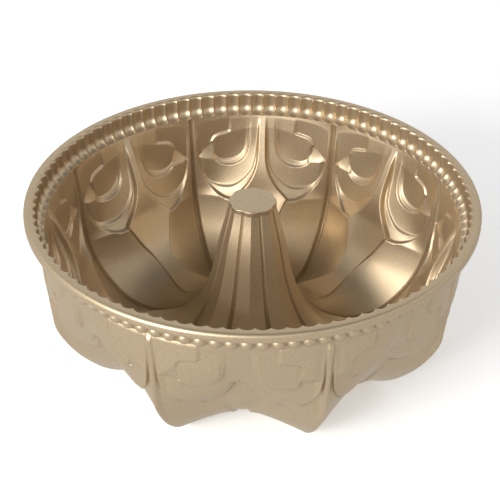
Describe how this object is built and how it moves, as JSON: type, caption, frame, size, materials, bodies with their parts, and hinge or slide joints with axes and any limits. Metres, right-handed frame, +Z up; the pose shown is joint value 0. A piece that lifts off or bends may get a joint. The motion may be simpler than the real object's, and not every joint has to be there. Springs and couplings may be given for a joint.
{
  "type": "fluted tube cake pan",
  "caption": "Deep cast tube cake pan with a fluted and pearled mouth, swagged wall, deep pointed lobes and a folded conical centre tube.",
  "frame": {"origin": "on the table, on the axis of the centre tube", "axes": "+Z up along the centre tube, +X through the middle of one drape panel"},
  "size_m": [0.262, 0.262, 0.1075],
  "materials": {
    "casting": "satin, metallic non-stick coating"
  },
  "bodies": {
    "root": {"rim_band": "casting", "fluted_collar": "casting", "pearl_band": "casting", "tube_cap": "casting", "wall_lobe_1": "casting", "wall_lobe_2": "casting", "wall_lobe_3": "casting", "wall_lobe_4": "casting", "wall_lobe_5": "casting", "wall_lobe_6": "casting", "wall_lobe_7": "casting", "wall_lobe_8": "casting", "drape_panel_1": "casting", "drape_panel_2": "casting", "drape_panel_3": "casting", "drape_panel_4": "casting", "drape_panel_5": "casting", "drape_panel_6": "casting", "drape_panel_7": "casting", "drape_panel_8": "casting", "tube_fold_1": "casting", "tube_fold_2": "casting", "tube_fold_3": "casting", "tube_fold_4": "casting", "tube_fold_5": "casting", "tube_fold_6": "casting", "tube_fold_7": "casting", "tube_fold_8": "casting"}
  },
  "joints": []
}
